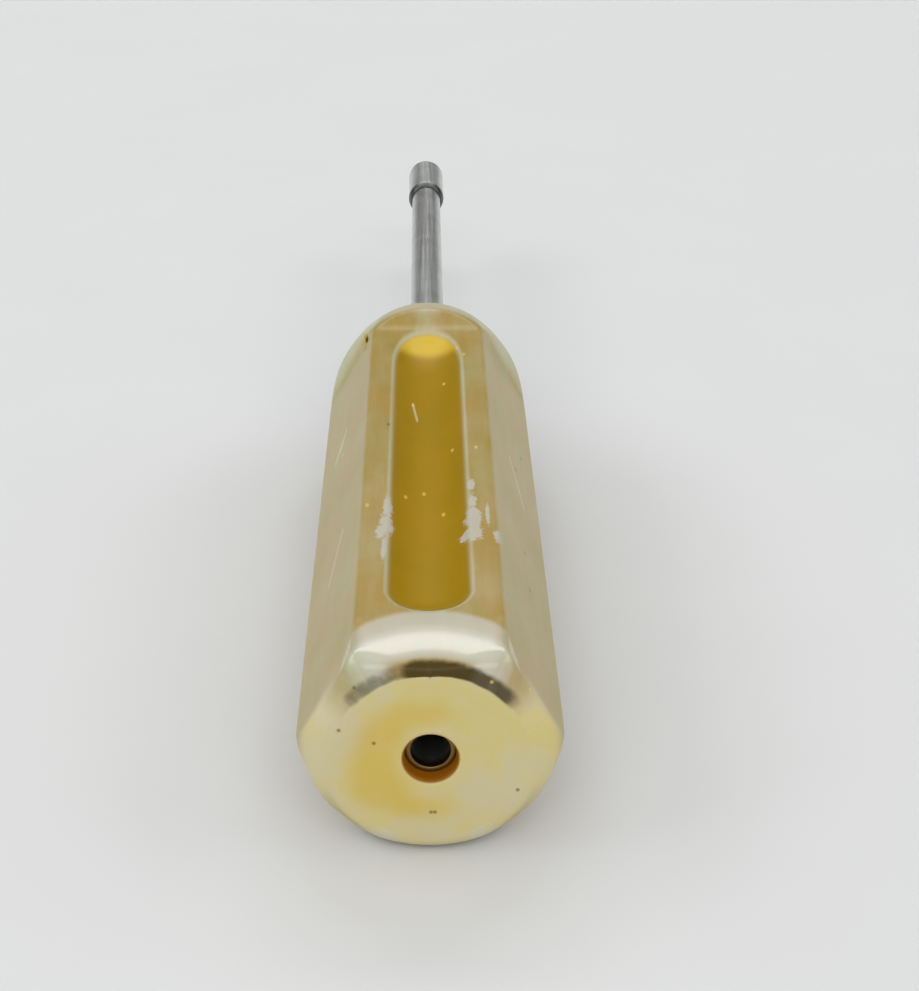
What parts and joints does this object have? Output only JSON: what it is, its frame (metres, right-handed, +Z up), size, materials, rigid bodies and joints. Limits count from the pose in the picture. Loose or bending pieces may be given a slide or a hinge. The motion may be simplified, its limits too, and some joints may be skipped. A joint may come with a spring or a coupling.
{
  "type": "hollow-shaft hand driver",
  "caption": "Hand tool with a fluted six-sided amber plastic handle, a hollow steel shaft through its full length and a slightly larger socket tip.",
  "frame": {"origin": "below the middle of the tool's length, level with the lowest point of the round nose", "axes": "+Y along the tool's axis from the butt to the tip, +Z up with one fluted flat on top, +X across"},
  "size_m": [0.0254, 0.186, 0.0242],
  "materials": {
    "amber_plastic": "clear amber plastic, hazed and scuffed outside, glossy on the rounded butt",
    "shaft_steel": "dull drawn steel tube with fine lengthwise streaks",
    "tip_steel": "turned steel, slightly darker than the shaft"
  },
  "bodies": {
    "root": {"handle": "amber_plastic", "shaft_tube": "shaft_steel", "tip_socket": "tip_steel"}
  },
  "joints": []
}
